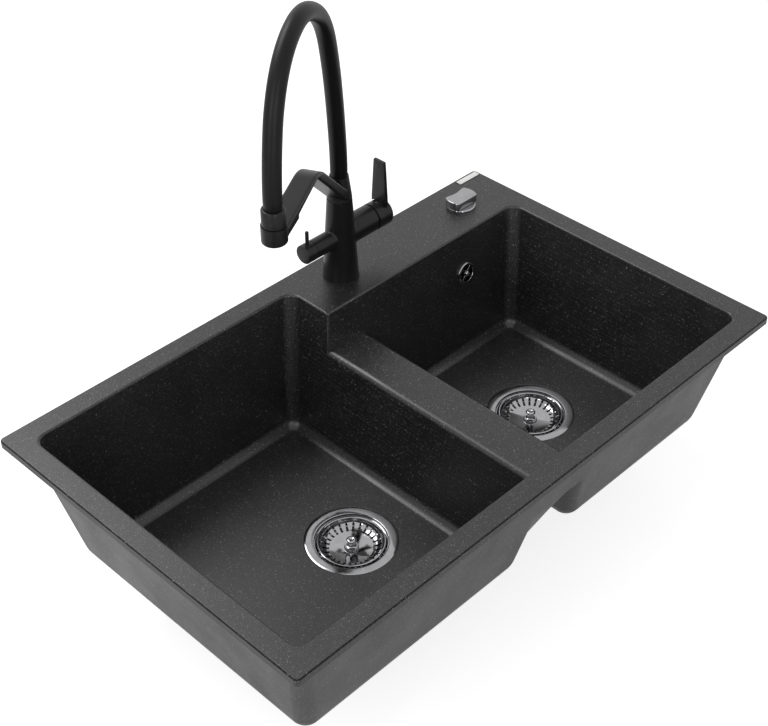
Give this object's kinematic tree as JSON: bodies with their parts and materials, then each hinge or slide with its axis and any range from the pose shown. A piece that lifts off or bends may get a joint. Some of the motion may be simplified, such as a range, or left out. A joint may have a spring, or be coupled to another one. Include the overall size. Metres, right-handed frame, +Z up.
{
  "type": "kitchen sink",
  "caption": "Inset double bowl kitchen sink in dark composite stone, with basket strainer wastes, overflow, turn control for one waste and a mixer tap with a soft hose spout.",
  "frame": {"origin": "centre of the rim's underside, on the worktop's surface", "axes": "+X along the sink to the small bowl, +Y to the tap side at the back, +Z up"},
  "size_m": [0.8, 0.49, 0.6902],
  "materials": {
    "stone": "matt composite stone with fine light flecks",
    "black": "matt black coating",
    "hose": "matt black silicone hose",
    "gunmetal": "dark gunmetal chrome",
    "chrome": "bright chrome",
    "steel": "plain steel",
    "brass": "machined brass",
    "seal": "black rubber",
    "plastic": "moulded black plastic",
    "ceramic": "pale technical ceramic",
    "plate": "white enamelled plate, blank"
  },
  "bodies": {
    "root": {"sink_rim": "stone", "left_bowl_walls": "stone", "left_bowl_floor": "stone", "right_bowl_walls": "stone", "right_bowl_floor": "stone", "bowl_divider": "stone", "name_plate": "plate", "overflow_grille": "chrome", "overflow_screw": "chrome", "overflow_seal": "seal", "overflow_elbow": "plastic", "control_sleeve": "gunmetal", "control_cap": "plastic", "control_washer": "seal", "control_nut": "plastic", "tap_seal": "seal", "tap_body": "black", "tap_shank": "brass", "tap_inlets": "brass", "tap_rubber_washer": "seal", "tap_steel_washer": "steel", "tap_nut": "brass", "mixer_cartridge": "ceramic", "cartridge_ring": "brass", "filter_headwork": "ceramic", "slip_ring": "plastic", "left_waste_flange": "gunmetal", "left_flange_seal": "seal", "left_clamp_screw": "steel", "left_body_seal": "seal", "left_waste_body": "plastic", "left_outlet_nut": "plastic", "right_waste_flange": "gunmetal", "right_flange_seal": "seal", "right_clamp_screw": "steel", "right_body_seal": "seal", "right_waste_body": "plastic", "right_outlet_nut": "plastic"},
    "left_basket": {"left_strainer_basket": "chrome", "left_stopper_seal": "seal", "left_basket_knob": "chrome"},
    "right_basket": {"right_strainer_basket": "chrome", "right_stopper_seal": "seal", "right_basket_knob": "chrome"},
    "lift_pin": {"right_lift_pin": "steel"},
    "control": {"control_knob": "gunmetal", "knob_shaft": "steel", "control_drum": "plastic"},
    "spout": {"docking_arm": "black", "spout_hose": "hose", "spray_nozzle": "black", "aerator": "plastic"},
    "mixer": {"mixer_hub": "black", "mixer_spindle": "brass", "lever_pin": "steel", "hub_grub_screw": "steel"},
    "lever": {"mixer_lever": "black"},
    "filter_handle": {"filter_hub": "black", "filter_spindle": "brass", "filter_lever": "black"}
  },
  "joints": [
    {"name": "spout_swivel", "type": "hinge", "parent": "root", "child": "spout", "pos_m": [0.09, 0.197, 0.13], "axis": [0, 0, 1], "range_deg": [-180, 180]},
    {"name": "mixer_temperature", "type": "hinge", "parent": "root", "child": "mixer", "pos_m": [0.09, 0.197, 0.0725], "axis": [1, 0, 0], "range_deg": [-45, 45]},
    {"name": "mixer_flow", "type": "hinge", "parent": "mixer", "child": "lever", "pos_m": [0.161, 0.197, 0.0725], "axis": [0, 1, 0], "range_deg": [0, 15]},
    {"name": "filter_valve", "type": "hinge", "parent": "root", "child": "filter_handle", "pos_m": [0.09, 0.197, 0.0725], "axis": [1, 0, 0], "range_deg": [0, 90]},
    {"name": "control_turn", "type": "hinge", "parent": "root", "child": "control", "pos_m": [0.319, 0.197, 0.02], "axis": [0, 0, 1], "range_deg": [0, 90]},
    {"name": "pin_lift", "type": "slide", "parent": "root", "child": "lift_pin", "axis": [0, 0, 1], "range_m": [0, 0.01]},
    {"name": "right_strainer_lift", "type": "slide", "parent": "lift_pin", "child": "right_basket", "axis": [0, 0, 1], "range_m": [0, 0.12]},
    {"name": "left_strainer_lift", "type": "slide", "parent": "root", "child": "left_basket", "axis": [0, 0, 1], "range_m": [0, 0.12]}
  ],
  "couplings": [
    {"joint": "pin_lift", "follows": "control_turn", "m_per_rad": 0.006366}
  ]
}
